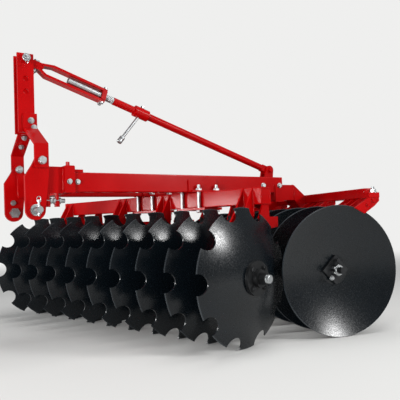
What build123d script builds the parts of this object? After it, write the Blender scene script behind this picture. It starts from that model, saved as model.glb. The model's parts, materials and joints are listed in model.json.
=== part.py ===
from build123d import *
from collections import namedtuple
from math import atan2, cos, hypot, radians, sin, sqrt
import os

# Offset disc harrow for a tractor's three-point linkage, in millimetres.
# +X is the direction of travel, +Y the machine's left side, +Z up. The discs stand on z = 0.
# The origin lies on the floor under the middle of the machine.

# Discs: spherical steel blades with a flat seat, notched in front, plain behind
disc_radius = 305.0
disc_thickness = 6.0
disc_dish = 62.0
disc_seat_radius = 70.0
disc_pitch = 183.0
discs_per_gang = 10
notch_count = 10
notch_radius = 43.0
notch_circle_radius = 298.0

# Gangs: two shafts set askew to the line of travel, closed towards the left side
gang_angle = 14.5
front_gang_x = 392.0
front_gang_y = -58.0
rear_gang_x = -496.0
rear_gang_y = 61.0

# Shafts: a square axle, cast spools between the discs, a flange and a washer at the ends
axle_side = 34.0
axle_play = 0.3
axle_thread_radius = 16.0
axle_stub = 62.0
spool_body_radius = 38.0
spool_flange_radius = 56.0
spool_flange_width = 13.0
spool_bore_radius = 25.0
end_flange_radius = 75.0
end_flange_width = 14.0
end_hub_radius = 38.0
end_hub_width = 18.0
end_washer_side = 98.0
end_washer_width = 14.0
nut_across_flats = 47.0
nut_width = 26.0
lock_bolt_radius = 7.0
lock_bolt_height = 16.0
lock_bolt_offset = 44.0

# Bearings: cast housings on the spools of four gaps, each nearer to the hollow disc. The
# heights of their feet and of the hangers on them count from the shaft.
front_bearing_gaps = (0, 3, 5, 8)
rear_bearing_gaps = (0, 2, 6, 8)
bearing_from_disc = 78.0
bearing_radius = 62.0
bearing_width = 44.0
bearing_play = 0.05
bearing_foot_width = 96.0
bearing_foot_bottom = 45.0
bearing_foot_top = 91.0

# Gang beams: rectangular tubes behind the shafts and clear over the discs, the rear one lighter
beam_edge = 5.0
front_beam_width = 80.0
front_beam_clearance = 14.0
front_beam_height = 80.0
front_beam_setback = 190.0
front_beam_start = 4.0
front_beam_end = 1600.0
rear_beam_width = 60.0
rear_beam_clearance = 30.0
rear_beam_height = 48.0
rear_beam_setback = 200.0
rear_beam_start = 40.0
rear_beam_end = 1640.0

# Hangers: pairs of plates down to a bearing's foot, in front from the beam's front face, at
# the rear from its underside
hanger_thickness = 10.0
hanger_foot_bottom = 66.0
hanger_foot_top = 125.0
hanger_foot_half = 44.0
hanger_nose_forward = 62.0
front_hanger_drops = (24.0, 64.0)
rear_hanger_drops = (40.0, 80.0)
hanger_back_inset = 34.0
hanger_seat_inset = 3.0

# Scrapers: a plate across the shaft for each disc, held under the gang beam, with a stub on
# the beam's end for a disc beyond it. Points lie forward of the shaft and below the beam.
scraper_disc_gap = 9.0
scraper_thickness = 10.0
scraper_stub_height = 24.0
scraper_stub_overrun = 3.0
front_scraper_seat = (-172.0, -218.0)
front_scraper_points = (
    (-222.0, 58.0), (-290.0, 58.0), (-290.0, 106.0), (-205.0, 116.0), (-140.0, 64.0),
)
rear_scraper_seat = (-156.0, -214.0)
rear_scraper_points = ((-214.0, 16.0), (-186.0, 40.0), (-131.0, 74.0), (-78.0, 46.0))

# Main frame: two lengthwise beams on the front gang beam, joined by two cross boxes. From
# here on, heights count from the deck, the underside of the lengthwise beams.
main_beam_width = 60.0
main_beam_height = 88.0
main_beam_left_y = 283.0
main_beam_right_y = -55.0
main_beam_front_x = 781.0
main_beam_rear_x = -441.0
front_cross_depth = 46.0
front_cross_bottom = -4.0
front_cross_top = 116.0
rear_cross_side = 80.0
rear_cross_height = 88.0
rear_cross_bottom = -44.0
cross_overhang = 10.0
cross_edge = 6.0
top_plate_thickness = 12.0
top_plate_reach = 41.0

# Clamps: a plate under the gang beam, bolts beside it, angle lugs on the main beam's sides
clamp_plate_thickness = 12.0
clamp_plate_length = 190.0
clamp_plate_width = 134.0
clamp_bolt_radius = 9.0
clamp_bolt_forward = 52.0
clamp_bolt_from_beam = 27.0
clamp_lug_thickness = 8.0
clamp_lug_height = 64.0
clamp_lug_length = 170.0
clamp_foot_reach = 46.0
bolt_head_radius = 15.0
bolt_head_height = 11.0

# Rear arms: plates that carry the rear gang beam behind the rear cross box
rear_arm_top_z = 44.0
rear_arm_low_z = -42.0
rear_arm_heel_run = 44.0
rear_arm_heel_z = -122.0
rear_arm_toe_run = -33.0
rear_arm_toe_z = -96.0
side_plate_thickness = 10.0
side_plate_length = 60.0
side_plate_bottom = -52.0

# Headstock and hitch plates
hitch_centre_y = 115.0
hitch_outer_half = 200.0
hitch_plate_thickness = 20.0
cheek_thickness = 20.0
cheek_bottom = -5.0
cheek_top = 112.0
cheek_front_x = 935.0
lower_pin_x = 953.0
lower_pin_z = -78.0
lower_pin_radius = 14.0
lower_pin_reach = 62.0
lower_pin_collar_radius = 25.0
lower_pin_collar_width = 9.0
lower_pin_nut_width = 22.0
lower_pin_thread_end = 8.0
hitch_tip_radius = 42.0
hitch_plate_front = ((996.0, 66.0), (964.0, 117.0), (945.0, 157.0))
hitch_plate_rear = ((913.0, 157.0), (893.0, 92.0))
adjuster_z = -38.0
adjuster_radius = 9.0
adjuster_start_x = 819.0
adjuster_end_x = 905.0
adjuster_stop_x = (853.0, 894.0)
adjuster_stop_radius = 12.0
adjuster_stop_drop = 26.0

# Mast: two plates above, two bent straps below that swing on bolts through the hitch plates
pivot_x = 927.0
pivot_z = 133.0
pivot_radius = 10.0
pivot_play = 0.05
pivot_head_radius = 17.0
pivot_head_width = 11.0
side_play = 0.3
mast_plate_thickness = 12.0
mast_half_gap = 24.0
mast_front_x = 977.0
mast_rear_x = 904.0
mast_bottom_z = 281.0
mast_top_z = 644.0
mast_hole_x = 940.0
top_hole_drop = 24.0
link_hole_drops = (116.0, 175.0)
upper_pin_radius = 12.5
link_hole_radius = 13.0
upper_pin_overhang = 18.0
strap_thickness = 12.0
strap_width = 60.0
strap_top_z = 367.0
strap_upper_bend_z = 296.0
strap_lower_bend_z = 201.0
strap_eye_radius = 30.0
spacer_radius = 14.0
spacer_points = ((924.0, 334.0), (911.0, 302.0))

# Top brace: a fork on the mast, a spindle through its block, and a tube that swings on the lug
brace_pin_x = -501.0
brace_pin_z = 149.0
brace_pin_radius = 12.5
brace_pin_play = 0.05
brace_eye_radius = 27.0
brace_eye_width = 30.0
brace_shank_length = 52.0
lug_thickness = 12.0
lug_top_radius = 27.0
brace_tube_radius = 19.0
brace_tube_gap = 60.0
screw_radius = 12.0
screw_thick_radius = 15.5
screw_thick_back = 46.0
screw_front = 185.0
block_back = 404.022
block_thickness = 22.0
block_height = 68.0
block_width = 56.0
block_hole_radius = 19.0
fork_bar_thickness = 12.0
fork_bar_width = 46.0
fork_front_back = 38.022
fork_join_run = 38.0
fork_bend_lower_run = 35.0
fork_bend_upper_run = 58.0
fork_eye_radius = 22.0
tongue_length = 90.0
collar_from_block = 262.0
collar_length = 80.0
collar_radius = 29.0
handle_radius = 7.0
handle_run = 108.0
handle_drop = 132.0
handle_knob_radius = 12.0
handle_knob_length = 34.0

os.makedirs("parts", exist_ok=True)

front_beam_bottom = 2 * disc_radius + front_beam_clearance
rear_beam_bottom = 2 * disc_radius + rear_beam_clearance
deck = front_beam_bottom + front_beam_height
main_beam_top = deck + main_beam_height
top_hole_z = mast_top_z - top_hole_drop
gang_span = (discs_per_gang - 1) * disc_pitch
turn_cos = cos(radians(gang_angle))
turn_sin = sin(radians(gang_angle))

# A gang's frame: u runs along the shaft to the right side, n forward across it. The hollow of
# its discs faces right when bulge is -1 and left when it is +1.
# The beam runs from station start to station end, which count from the middle of the gang.
Gang = namedtuple("Gang", "x y ux uy nx ny bulge setback start end width bottom top gaps")
front_gang = Gang(
    front_gang_x, front_gang_y, turn_sin, -turn_cos, turn_cos, turn_sin, -1,
    front_beam_setback, front_beam_start - gang_span / 2, front_beam_end - gang_span / 2,
    front_beam_width, front_beam_bottom, front_beam_bottom + front_beam_height, front_bearing_gaps,
)
rear_gang = Gang(
    rear_gang_x, rear_gang_y, -turn_sin, -turn_cos, turn_cos, -turn_sin, 1,
    rear_beam_setback, rear_beam_start - gang_span / 2, rear_beam_end - gang_span / 2,
    rear_beam_width, rear_beam_bottom, rear_beam_bottom + rear_beam_height, rear_bearing_gaps,
)


def rim(number):
    """Station of a disc's rim along its shaft, from the middle of the gang."""
    return number * disc_pitch - gang_span / 2


def section(gang, station, forward=0.0, height=disc_radius):
    """Plane across the shaft: local x forward, local y up, local z along the shaft."""
    return Plane(
        origin=(
            gang.x + station * gang.ux + forward * gang.nx,
            gang.y + station * gang.uy + forward * gang.ny,
            height,
        ),
        x_dir=(gang.nx, gang.ny, 0),
        z_dir=(gang.ux, gang.uy, 0),
    )


def floor(gang, station, forward, height):
    """Level plane: local x along the shaft to the right, local y forward."""
    return Plane(
        origin=(
            gang.x + station * gang.ux + forward * gang.nx,
            gang.y + station * gang.uy + forward * gang.ny,
            height,
        ),
        x_dir=(gang.ux, gang.uy, 0),
        z_dir=(0, 0, 1),
    )


def beam_x(gang, y):
    """Where the middle line of a gang beam crosses a lengthwise plane."""
    middle_x = gang.x - gang.setback * gang.nx
    middle_y = gang.y - gang.setback * gang.ny
    return middle_x + (y - middle_y) * gang.ux / gang.uy


def bearing_station(gang, gap):
    """Middle of the bearing in a gap, counted from the left side."""
    if gang.bulge < 0:
        return rim(gap) + bearing_from_disc
    return rim(gap + 1) - bearing_from_disc


def seat(gang, number, side):
    """Station of a disc's flat seat, on its left (-1) or right (+1) face."""
    return rim(number) + gang.bulge * (disc_dish - disc_thickness / 2) + side * disc_thickness / 2


def side_plane(y):
    """Upright lengthwise plane: local x forward, local y up from the deck."""
    return Plane(origin=(0, y, deck), x_dir=(1, 0, 0), z_dir=(0, -1, 0))


def cross_plane(x):
    """Upright plane across the machine: local x to the left, local y up from the deck."""
    return Plane(origin=(x, 0, deck), x_dir=(0, 1, 0), z_dir=(1, 0, 0))


def save(builder, label):
    """Label a finished piece and write its file."""
    builder.part.label = label
    export_step(builder.part, f"parts/{label}.step")


# One disc, its axis on Z and its bulge up, with the rim's outer edge at height 0
ball_centre = (disc_seat_radius**2 + disc_dish**2 - disc_radius**2) / (2 * disc_dish)
ball_radius = hypot(disc_radius, ball_centre)


def shell_height(radius, inset):
    """Height of the disc's ball surface, drawn in by inset, over the rim."""
    return ball_centre + sqrt((ball_radius - inset) ** 2 - radius**2)


mid_radius = (disc_radius + disc_seat_radius) / 2
edge_radius = disc_radius * (ball_radius - disc_thickness) / ball_radius
edge_height = shell_height(edge_radius, disc_thickness)
seat_height = disc_dish - disc_thickness

with BuildPart() as plain_disc:
    with BuildSketch(Plane.XZ):
        with BuildLine():
            Polyline((0, seat_height), (0, disc_dish), (disc_seat_radius, disc_dish))
            ThreePointArc(
                (disc_seat_radius, disc_dish),
                (mid_radius, shell_height(mid_radius, 0)),
                (disc_radius, 0),
            )
            Line((disc_radius, 0), (edge_radius, edge_height))
            ThreePointArc(
                (edge_radius, edge_height),
                (mid_radius, shell_height(mid_radius, disc_thickness)),
                (disc_seat_radius, seat_height),
            )
            Line((disc_seat_radius, seat_height), (0, seat_height))
        make_face()
    revolve(axis=Axis.Z)
    with BuildSketch(Plane.XY):
        Rectangle(axle_side + 2 * axle_play, axle_side + 2 * axle_play)
    extrude(amount=disc_dish + disc_thickness, mode=Mode.SUBTRACT)

with BuildPart() as notched_disc:
    add(plain_disc.part)
    with BuildSketch(Plane.XY.offset(-disc_dish)):
        with PolarLocations(notch_circle_radius, notch_count):
            Circle(notch_radius)
    extrude(amount=2 * disc_dish, mode=Mode.SUBTRACT)

for name, gang, disc in (("front", front_gang, notched_disc), ("rear", rear_gang, plain_disc)):
    with BuildPart() as discs:
        for number in range(discs_per_gang):
            flat = section(gang, rim(number))
            place = Plane(origin=flat.origin, x_dir=flat.x_dir, z_dir=flat.z_dir * gang.bulge)
            with Locations(place):
                add(disc.part)
    save(discs, f"{name}_discs")

    left_end = seat(gang, 0, -1)
    right_end = seat(gang, discs_per_gang - 1, 1)
    with BuildPart() as axle:
        with BuildSketch(section(gang, left_end - end_flange_width)):
            Rectangle(axle_side, axle_side)
        extrude(amount=right_end - left_end + 2 * end_flange_width)
        for end, way in ((left_end - end_flange_width, -1), (right_end + end_flange_width, 1)):
            with BuildSketch(section(gang, end)):
                Circle(axle_thread_radius)
            extrude(amount=way * axle_stub)
    save(axle, f"{name}_axle")

    with BuildPart() as spools:
        for gap in range(discs_per_gang - 1):
            start = seat(gang, gap, 1)
            end = seat(gang, gap + 1, -1)
            with BuildSketch(section(gang, start)):
                Circle(spool_flange_radius)
            extrude(amount=spool_flange_width)
            with BuildSketch(section(gang, start + spool_flange_width)):
                Circle(spool_body_radius)
            extrude(amount=end - start - 2 * spool_flange_width)
            with BuildSketch(section(gang, end)):
                Circle(spool_flange_radius)
            extrude(amount=-spool_flange_width)
            with BuildSketch(section(gang, start)):
                Circle(spool_bore_radius)
            extrude(amount=end - start, mode=Mode.SUBTRACT)
    save(spools, f"{name}_spools")

    # The bulging end has a round flange and hub, the hollow end a square washer on its corner
    round_end, square_end = (left_end, right_end) if gang.bulge < 0 else (right_end, left_end)
    with BuildPart() as fittings:
        way = gang.bulge
        with BuildSketch(section(gang, round_end)):
            Circle(end_flange_radius)
            Rectangle(axle_side + 2 * axle_play, axle_side + 2 * axle_play, mode=Mode.SUBTRACT)
        extrude(amount=way * end_flange_width)
        with BuildSketch(section(gang, round_end + way * end_flange_width)):
            Circle(end_hub_radius)
            Circle(axle_thread_radius, mode=Mode.SUBTRACT)
        extrude(amount=way * end_hub_width)
        with BuildSketch(section(gang, round_end + way * (end_flange_width + end_hub_width))):
            RegularPolygon(nut_across_flats / 2, 6, major_radius=False)
            Circle(axle_thread_radius, mode=Mode.SUBTRACT)
        extrude(amount=way * nut_width)
        with BuildSketch(section(gang, square_end)):
            Rectangle(end_washer_side, end_washer_side, rotation=45)
            Rectangle(axle_side + 2 * axle_play, axle_side + 2 * axle_play, mode=Mode.SUBTRACT)
        extrude(amount=-way * end_washer_width)
        with BuildSketch(section(gang, square_end - way * end_washer_width)):
            RegularPolygon(nut_across_flats / 2, 6, major_radius=False)
            Circle(axle_thread_radius, mode=Mode.SUBTRACT)
        extrude(amount=-way * nut_width)
        with BuildSketch(section(gang, square_end - way * end_washer_width)):
            with Locations((0, lock_bolt_offset)):
                Circle(lock_bolt_radius)
        extrude(amount=-way * lock_bolt_height)
    save(fittings, f"{name}_end_fittings")

    with BuildPart() as bearings:
        for gap in gang.gaps:
            station = bearing_station(gang, gap)
            with BuildSketch(section(gang, station)):
                Circle(bearing_radius)
                with Locations((0, (bearing_foot_bottom + bearing_foot_top) / 2)):
                    Rectangle(bearing_foot_width, bearing_foot_top - bearing_foot_bottom)
                Circle(spool_body_radius + bearing_play, mode=Mode.SUBTRACT)
            extrude(amount=bearing_width / 2, both=True)
    save(bearings, f"{name}_bearings")

    beam_front = gang.width / 2 - gang.setback
    beam_back = -gang.width / 2 - gang.setback
    foot = (
        (-hanger_foot_half, hanger_foot_top),
        (-hanger_foot_half, hanger_foot_bottom),
        (hanger_foot_half, hanger_foot_bottom),
        (hanger_foot_half, hanger_foot_top),
    )
    under = gang.bottom - disc_radius
    if gang is front_gang:
        nose_drop, back_drop = front_hanger_drops
        head = ((beam_front, gang.top - disc_radius), (beam_front, under - back_drop))
    else:
        nose_drop, back_drop = rear_hanger_drops
        head = (
            (beam_front - hanger_seat_inset, under),
            (beam_back + hanger_seat_inset, under),
            (beam_front - hanger_back_inset, under - back_drop),
        )
    nose = (beam_front + hanger_nose_forward, under - nose_drop)
    with BuildPart() as hangers:
        for gap in gang.gaps:
            for side in (-1, 1):
                station = bearing_station(gang, gap) + side * (bearing_width + hanger_thickness) / 2
                with BuildSketch(section(gang, station)):
                    with BuildLine():
                        Polyline(*foot, nose, *head, close=True)
                    make_face()
                extrude(amount=hanger_thickness / 2, both=True)
    save(hangers, f"{name}_hangers")

    with BuildPart() as beam:
        middle = (gang.start + gang.end) / 2
        with Locations(floor(gang, middle, -gang.setback, (gang.bottom + gang.top) / 2)):
            Box(gang.end - gang.start, gang.width, gang.top - gang.bottom)
        along = beam.edges().filter_by(lambda e: e.length > gang.end - gang.start - 1)
        fillet(along, beam_edge)
    save(beam, f"{name}_gang_beam")

# Stations of the clamps that hold the main beams on the front gang beam
clamp_stations = [
    (beam_x(front_gang, y) - front_gang.x) * front_gang.ux + (y - front_gang.y) * front_gang.uy
    for y in (main_beam_left_y, main_beam_right_y)
]

# Scrapers, of which those at the clamps hang from the clamp plate
for name, gang, seat_line, points in (
    ("front", front_gang, front_scraper_seat, front_scraper_points),
    ("rear", rear_gang, rear_scraper_seat, rear_scraper_points),
):
    with BuildPart() as scrapers:
        for number in range(discs_per_gang):
            near = rim(number) - gang.bulge * scraper_disc_gap
            far = near - gang.bulge * scraper_thickness
            height = gang.bottom
            for clamp in clamp_stations:
                if gang is front_gang and abs(near - clamp) < clamp_plate_length / 2:
                    height = gang.bottom - clamp_plate_thickness
            with BuildSketch(section(gang, near, 0, 0)):
                with BuildLine():
                    Polyline(
                        (seat_line[0], height),
                        (seat_line[1], height),
                        *[(forward, gang.bottom - drop) for forward, drop in points],
                        close=True,
                    )
                make_face()
            extrude(amount=far - near)
            end = min(max(far, gang.start), gang.end)
            if end != far:
                reach = far + (scraper_stub_overrun if far > 0 else -scraper_stub_overrun)
                with Locations(floor(gang, (end + reach) / 2, sum(seat_line) / 2, height)):
                    Box(
                        abs(reach - end),
                        seat_line[0] - seat_line[1],
                        scraper_stub_height,
                        align=(Align.CENTER, Align.CENTER, Align.MIN),
                    )
    save(scrapers, f"{name}_scrapers")

# Main beams with closed ends
for name, y in (("left", main_beam_left_y), ("right", main_beam_right_y)):
    with BuildPart() as main_beam:
        middle_x = (main_beam_front_x + main_beam_rear_x) / 2
        with Locations((middle_x, y, deck + main_beam_height / 2)):
            Box(main_beam_front_x - main_beam_rear_x, main_beam_width, main_beam_height)
        fillet(main_beam.edges().filter_by(Axis.X), beam_edge)
    save(main_beam, f"main_beam_{name}")

# Cross boxes: a tall flat one at the headstock and a square one at the rear
cross_left_y = main_beam_left_y + main_beam_width / 2 + cross_overhang
cross_right_y = main_beam_right_y - main_beam_width / 2 - cross_overhang
cross_middle_y = (cross_left_y + cross_right_y) / 2
cross_length = cross_left_y - cross_right_y

with BuildPart() as front_cross:
    with Locations((
        main_beam_front_x + front_cross_depth / 2,
        cross_middle_y,
        deck + (front_cross_bottom + front_cross_top) / 2,
    )):
        Box(front_cross_depth, cross_length, front_cross_top - front_cross_bottom)
    fillet(front_cross.edges().filter_by(Axis.Y), cross_edge)
    with Locations((
        main_beam_front_x - top_plate_reach / 2,
        cross_middle_y,
        main_beam_top + top_plate_thickness / 2,
    )):
        Box(top_plate_reach, cross_length - 2 * cross_overhang, top_plate_thickness)
save(front_cross, "front_cross_box")

with BuildPart() as rear_cross:
    with Locations((
        main_beam_rear_x - rear_cross_side / 2,
        cross_middle_y,
        deck + rear_cross_bottom + rear_cross_height / 2,
    )):
        Box(rear_cross_side, cross_length, rear_cross_height)
    fillet(rear_cross.edges().filter_by(Axis.Y), cross_edge)
save(rear_cross, "rear_cross_box")

# Rear arms, cut to the slanting gang beam that lies in them, with a plate beside the main beam
beam_place = floor(
    rear_gang,
    (rear_gang.start + rear_gang.end) / 2,
    -rear_gang.setback,
    (rear_gang.bottom + rear_gang.top) / 2,
)
for name, y, side in (("left", main_beam_left_y, 1), ("right", main_beam_right_y, -1)):
    rear_x = beam_x(rear_gang, y)
    with BuildPart() as rear_arm:
        with BuildSketch(side_plane(y)):
            with BuildLine():
                Polyline(
                    (main_beam_rear_x - rear_cross_side, rear_arm_top_z),
                    (main_beam_rear_x - rear_cross_side, rear_arm_low_z),
                    (rear_x + rear_arm_heel_run, rear_arm_heel_z),
                    (rear_x + rear_arm_toe_run, rear_arm_toe_z),
                    (rear_x + rear_arm_heel_run, rear_gang.top - deck),
                    close=True,
                )
            make_face()
        extrude(amount=main_beam_width / 2 + cross_overhang, both=True)
        with Locations(beam_place):
            Box(
                rear_gang.end - rear_gang.start + disc_pitch,
                rear_gang.width,
                rear_gang.top - rear_gang.bottom,
                mode=Mode.SUBTRACT,
            )
    save(rear_arm, f"rear_arm_{name}")

    with BuildPart() as side_plate:
        with Locations((
            main_beam_rear_x + side_plate_length / 2,
            y + side * (main_beam_width + side_plate_thickness) / 2,
            deck + (side_plate_bottom + rear_arm_top_z) / 2,
        )):
            Box(side_plate_length, side_plate_thickness, rear_arm_top_z - side_plate_bottom)
    save(side_plate, f"side_plate_{name}")

# Clamps where the main beams cross the front gang beam
with BuildPart() as clamps:
    for y, station in zip((main_beam_left_y, main_beam_right_y), clamp_stations):
        cross_x = beam_x(front_gang, y)
        with Locations(floor(
            front_gang, station, -front_gang.setback, front_gang.bottom - clamp_plate_thickness / 2
        )):
            Box(clamp_plate_length, clamp_plate_width, clamp_plate_thickness)
        for side in (-1, 1):
            face = y + side * main_beam_width / 2
            with Locations((cross_x, face + side * clamp_lug_thickness / 2, front_gang.top)):
                Box(
                    clamp_lug_length,
                    clamp_lug_thickness,
                    clamp_lug_height,
                    align=(Align.CENTER, Align.CENTER, Align.MIN),
                )
            with Locations((cross_x, face + side * clamp_foot_reach / 2, front_gang.top)):
                Box(
                    clamp_lug_length,
                    clamp_foot_reach,
                    clamp_lug_thickness,
                    align=(Align.CENTER, Align.CENTER, Align.MIN),
                )
            for way in (-1, 1):
                forward = way * clamp_bolt_forward
                aside = side * (main_beam_width / 2 + clamp_bolt_from_beam)
                shift = (aside - forward * front_gang.ny) / front_gang.uy
                low = front_gang.bottom - clamp_plate_thickness - bolt_head_height
                high = front_gang.top + clamp_lug_thickness + bolt_head_height
                place = floor(front_gang, station + shift, forward - front_gang.setback, low)
                with BuildSketch(place):
                    Circle(clamp_bolt_radius)
                extrude(amount=high - low)
                with BuildSketch(place):
                    RegularPolygon(bolt_head_radius, 6)
                extrude(amount=bolt_head_height)
                with BuildSketch(place.offset(high - low)):
                    RegularPolygon(bolt_head_radius, 6)
                extrude(amount=-bolt_head_height)
save(clamps, "front_clamps")

# Brace lug: two plates on the rear cross box, and the pin of the brace
with BuildPart() as brace_lug:
    rear_cross_top = rear_cross_bottom + rear_cross_height
    rear_cross_x = main_beam_rear_x - rear_cross_side / 2
    for side in (-1, 1):
        y = hitch_centre_y + side * (brace_eye_width / 2 + side_play + lug_thickness / 2)
        with BuildSketch(side_plane(y)):
            with BuildLine():
                Polyline(
                    (rear_cross_x - rear_cross_side / 2 + cross_edge, rear_cross_top),
                    (rear_cross_x + rear_cross_side / 2 - cross_edge, rear_cross_top),
                    (brace_pin_x + lug_top_radius, brace_pin_z),
                    (brace_pin_x - lug_top_radius, brace_pin_z),
                    close=True,
                )
            make_face()
            with Locations((brace_pin_x, brace_pin_z)):
                Circle(lug_top_radius)
        extrude(amount=lug_thickness / 2, both=True)
    with BuildSketch(side_plane(hitch_centre_y)):
        with Locations((brace_pin_x, brace_pin_z)):
            Circle(brace_pin_radius)
    extrude(amount=brace_eye_width / 2 + 2 * lug_thickness, both=True)
save(brace_lug, "brace_lug")

# Headstock cheeks and hitch plates
for name, side in (("left", 1), ("right", -1)):
    outer_y = hitch_centre_y + side * hitch_outer_half
    plate_y = outer_y - side * hitch_plate_thickness / 2
    cheek_y = outer_y - side * (hitch_plate_thickness + cheek_thickness / 2)
    cheek_rear_x = main_beam_front_x + front_cross_depth
    with BuildPart() as cheek:
        with Locations((
            (cheek_rear_x + cheek_front_x) / 2,
            cheek_y,
            deck + (cheek_bottom + cheek_top) / 2,
        )):
            Box(cheek_front_x - cheek_rear_x, cheek_thickness, cheek_top - cheek_bottom)
    save(cheek, f"headstock_cheek_{name}")

    with BuildPart() as hitch_plate:
        with BuildSketch(side_plane(plate_y)):
            with BuildLine():
                Polyline(
                    (lower_pin_x - hitch_tip_radius, lower_pin_z),
                    (lower_pin_x + hitch_tip_radius, lower_pin_z),
                    *hitch_plate_front,
                    *hitch_plate_rear,
                    close=True,
                )
            make_face()
            with Locations((lower_pin_x, lower_pin_z)):
                Circle(hitch_tip_radius)
                Circle(lower_pin_radius, mode=Mode.SUBTRACT)
            with Locations((pivot_x, pivot_z)):
                Circle(pivot_radius, mode=Mode.SUBTRACT)
        extrude(amount=hitch_plate_thickness / 2, both=True)
    save(hitch_plate, f"hitch_plate_{name}")

    lower_pin_tail = (
        lower_pin_reach + hitch_plate_thickness + lower_pin_nut_width + lower_pin_thread_end
    )
    with BuildPart() as lower_pin:
        with BuildSketch(side_plane(outer_y + side * lower_pin_reach)):
            with Locations((lower_pin_x, lower_pin_z)):
                Circle(lower_pin_radius)
        extrude(amount=side * (lower_pin_tail))
        with BuildSketch(side_plane(outer_y + side * lower_pin_collar_width)):
            with Locations((lower_pin_x, lower_pin_z)):
                Circle(lower_pin_collar_radius)
        extrude(amount=side * lower_pin_collar_width)
        with BuildSketch(side_plane(outer_y - side * hitch_plate_thickness)):
            with Locations((lower_pin_x, lower_pin_z)):
                RegularPolygon(lower_pin_collar_radius, 6)
        extrude(amount=side * lower_pin_nut_width)
    save(lower_pin, f"lower_pin_{name}")

    # Pivot bolt of the mast: through the hitch plate and the strap outside it
    with BuildPart() as pivot_bolt:
        strap_outer = side_play + strap_thickness + side_play
        with BuildSketch(side_plane(outer_y + side * (strap_outer + pivot_head_width))):
            with Locations((pivot_x, pivot_z)):
                Circle(pivot_head_radius)
        extrude(amount=side * pivot_head_width)
        with BuildSketch(side_plane(outer_y + side * strap_outer)):
            with Locations((pivot_x, pivot_z)):
                Circle(pivot_radius)
        extrude(amount=side * (strap_outer + hitch_plate_thickness))
        with BuildSketch(side_plane(outer_y - side * hitch_plate_thickness)):
            with Locations((pivot_x, pivot_z)):
                Circle(pivot_head_radius)
        extrude(amount=side * pivot_head_width)
    save(pivot_bolt, f"pivot_bolt_{name}")

    # Mast strap: bolted on the mast plate, splayed out, then upright beside the hitch plate
    strap_inner_top = hitch_centre_y + side * (mast_half_gap + mast_plate_thickness)
    strap_inner_low = outer_y + side * side_play
    with BuildPart() as strap:
        with BuildSketch(cross_plane(pivot_x - strap_width / 2)):
            with BuildLine():
                Polyline(
                    (strap_inner_low, pivot_z - strap_eye_radius),
                    (strap_inner_low, strap_lower_bend_z),
                    (strap_inner_top, strap_upper_bend_z),
                    (strap_inner_top, strap_top_z),
                    (strap_inner_top + side * strap_thickness, strap_top_z),
                    (strap_inner_top + side * strap_thickness, strap_upper_bend_z + strap_thickness / 2),
                    (strap_inner_low + side * strap_thickness, strap_lower_bend_z + strap_thickness / 2),
                    (strap_inner_low + side * strap_thickness, pivot_z - strap_eye_radius),
                    close=True,
                )
            make_face()
        extrude(amount=strap_width)
        with BuildSketch(side_plane(outer_y)):
            with Locations((pivot_x, pivot_z)):
                Circle(pivot_radius + pivot_play)
        extrude(amount=-side * 2 * strap_thickness, mode=Mode.SUBTRACT)
    save(strap, f"mast_strap_{name}")

    with BuildPart() as mast_plate:
        middle = hitch_centre_y + side * (mast_half_gap + mast_plate_thickness / 2)
        with BuildSketch(side_plane(middle)):
            with Locations(((mast_front_x + mast_rear_x) / 2, (mast_bottom_z + mast_top_z) / 2)):
                Rectangle(mast_front_x - mast_rear_x, mast_top_z - mast_bottom_z)
            with Locations((mast_hole_x, top_hole_z)):
                Circle(upper_pin_radius, mode=Mode.SUBTRACT)
            for drop in link_hole_drops:
                with Locations((mast_hole_x, mast_top_z - drop)):
                    Circle(link_hole_radius, mode=Mode.SUBTRACT)
        extrude(amount=mast_plate_thickness / 2, both=True)
    save(mast_plate, f"mast_plate_{name}")

# Adjuster bar: hung under the left cheek, with two stops below it
with BuildPart() as adjuster:
    adjuster_y = hitch_centre_y + hitch_outer_half - hitch_plate_thickness - cheek_thickness / 2
    with BuildSketch(cross_plane(adjuster_start_x)):
        with Locations((adjuster_y, adjuster_z)):
            Circle(adjuster_radius)
    extrude(amount=adjuster_end_x - adjuster_start_x)
    for x in adjuster_stop_x:
        with BuildSketch(Plane.XY.offset(deck + adjuster_z)):
            with Locations((x, adjuster_y)):
                Circle(adjuster_stop_radius)
        extrude(amount=-adjuster_stop_drop)
        with BuildSketch(Plane.XY.offset(deck + adjuster_z)):
            with Locations((x, adjuster_y)):
                Circle(adjuster_radius)
        extrude(amount=cheek_bottom - adjuster_z)
save(adjuster, "adjuster_bar")

# Upper pin, which holds the brace's fork, and the spacers of the mast
with BuildPart() as upper_pin:
    with BuildSketch(side_plane(hitch_centre_y)):
        with Locations((mast_hole_x, top_hole_z)):
            Circle(upper_pin_radius)
    extrude(amount=mast_half_gap + mast_plate_thickness + upper_pin_overhang, both=True)
save(upper_pin, "mast_upper_pin")

with BuildPart() as spacers:
    for x, z in spacer_points:
        with BuildSketch(side_plane(hitch_centre_y)):
            with Locations((x, z)):
                Circle(spacer_radius)
        extrude(amount=mast_half_gap, both=True)
save(spacers, "mast_spacers")

# Brace line: from the lug's pin to the upper pin of the mast, which the fork and block follow
brace_slope = atan2(top_hole_z - brace_pin_z, mast_hole_x - brace_pin_x)
brace_reach = hypot(mast_hole_x - brace_pin_x, top_hole_z - brace_pin_z)
block_at = brace_reach - block_back
fork_front = brace_reach - fork_front_back
fork_join = fork_front - fork_join_run
brace_line = Plane(
    origin=(brace_pin_x, hitch_centre_y, deck + brace_pin_z),
    x_dir=(0, 1, 0),
    z_dir=(cos(brace_slope), 0, sin(brace_slope)),
)
brace_side = Plane(
    origin=(brace_pin_x, hitch_centre_y, deck + brace_pin_z),
    x_dir=(cos(brace_slope), 0, sin(brace_slope)),
    z_dir=(0, -1, 0),
)

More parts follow.
